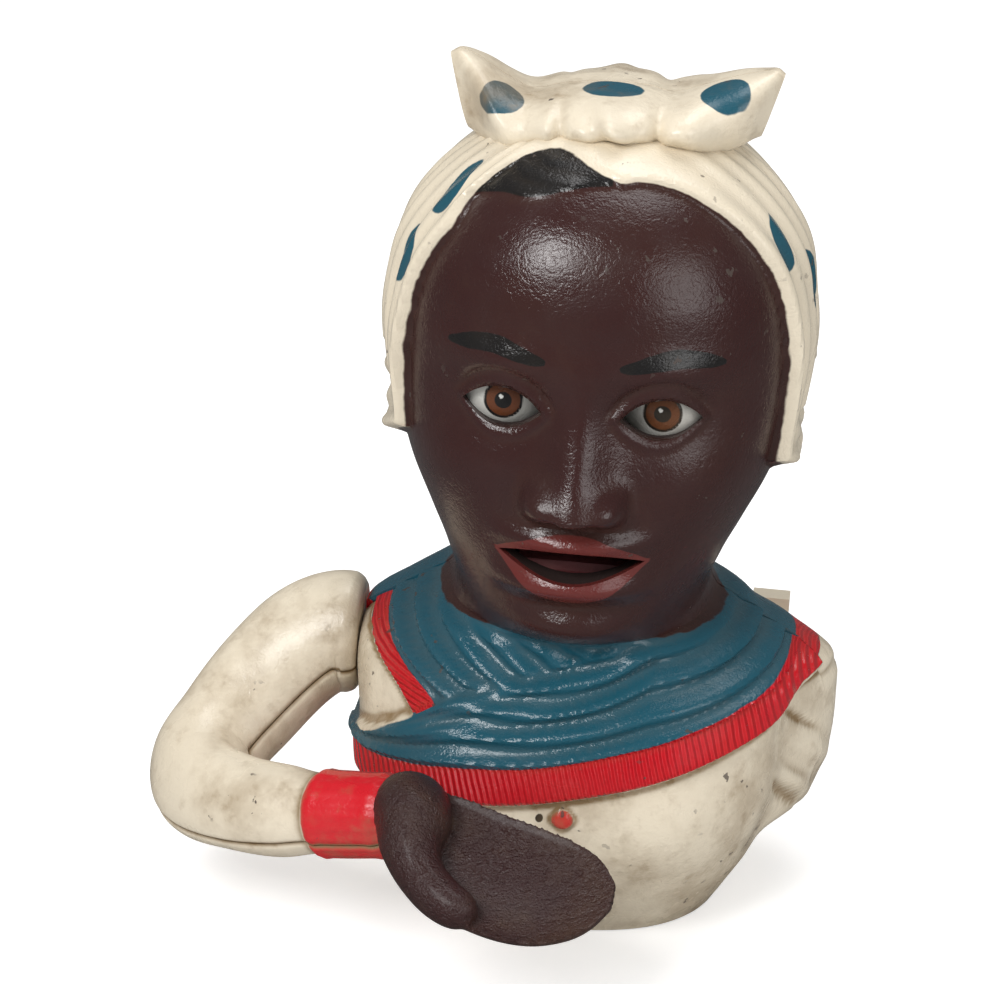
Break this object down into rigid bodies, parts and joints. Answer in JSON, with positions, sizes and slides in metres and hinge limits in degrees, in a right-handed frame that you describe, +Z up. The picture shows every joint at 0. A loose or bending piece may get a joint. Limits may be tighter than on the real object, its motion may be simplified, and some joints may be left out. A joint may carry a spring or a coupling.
{
  "type": "mechanical coin bank",
  "caption": "painted cast-iron mechanical coin bank: bust in a head wrap and crossed shawl whose arm lifts a coin to the mouth as the eyes roll and the tongue tips back",
  "frame": {"origin": "centre of the foot on the table, in the seam plane and under the shoulder shaft", "axes": "+Z up; the figure faces -Y; +X is the viewer's right"},
  "size_m": [0.13, 0.1193, 0.1637],
  "materials": {
    "cream_paint": "worn gloss",
    "skin_paint": "gloss",
    "tongue_paint": "satin",
    "eye_paint": "gloss",
    "bare_iron": "dull"
  },
  "bodies": {
    "bust": {"front_casting": "cream_paint", "back_casting": "cream_paint", "base_plate": "bare_iron", "base_screw_left": "bare_iron", "base_screw_right": "bare_iron", "trap_rivet": "bare_iron", "head_screw": "bare_iron", "body_screw": "bare_iron", "lever_pin": "bare_iron", "tongue_pin": "bare_iron"},
    "arm": {"arm_upper_half": "cream_paint", "arm_lower_half": "cream_paint", "arm_rivets": "bare_iron", "hand": "skin_paint", "arm_shaft": "bare_iron"},
    "lever": {"thumb_lever": "cream_paint"},
    "rod": {"drive_rod": "bare_iron"},
    "tongue_lever": {"tongue": "tongue_paint"},
    "eye_link": {"eye_rod": "bare_iron"},
    "eyes": {"eye_left": "eye_paint", "eye_right": "eye_paint", "eye_crank": "bare_iron", "eye_axle": "bare_iron"},
    "trap": {"trap_cover": "bare_iron"}
  },
  "joints": [
    {"name": "arm_lift", "type": "hinge", "parent": "bust", "child": "arm", "pos_m": [-0.038, 0, 0.044], "axis": [-1, 0, 0], "range_deg": [0, 46]},
    {"name": "thumb_press", "type": "hinge", "parent": "bust", "child": "lever", "pos_m": [0.033, 0.011, 0.044], "axis": [-1, 0, 0], "range_deg": [0, 21.87]},
    {"name": "tongue_tip", "type": "hinge", "parent": "bust", "child": "tongue_lever", "pos_m": [0, -0.029, 0.0675], "axis": [-1, 0, 0], "range_deg": [0, 22.08]},
    {"name": "drive_rod_swing", "type": "hinge", "parent": "tongue_lever", "child": "rod", "pos_m": [0.0063, -0.01392, 0.05965], "axis": [-1, 0, 0], "range_deg": [-29.01, 0]},
    {"name": "eye_link_swing", "type": "hinge", "parent": "tongue_lever", "child": "eye_link", "pos_m": [-0.0141, -0.017, 0.0675], "axis": [-1, 0, 0], "range_deg": [-22.08, 0]},
    {"name": "eye_roll", "type": "hinge", "parent": "bust", "child": "eyes", "pos_m": [0, -0.0254, 0.10825], "axis": [-1, 0, 0], "range_deg": [0, 22.08]},
    {"name": "trap_swing", "type": "hinge", "parent": "bust", "child": "trap", "pos_m": [0.019, -0.014, 0.003], "axis": [0, 0, -1], "range_deg": [0, 70]}
  ],
  "couplings": [
    {"joint": "thumb_press", "follows": "arm_lift", "ratio": 0.4754},
    {"joint": "tongue_tip", "follows": "arm_lift", "ratio": 0.48},
    {"joint": "drive_rod_swing", "follows": "arm_lift", "ratio": -0.6306},
    {"joint": "eye_link_swing", "follows": "arm_lift", "ratio": -0.48},
    {"joint": "eye_roll", "follows": "arm_lift", "ratio": 0.48}
  ]
}
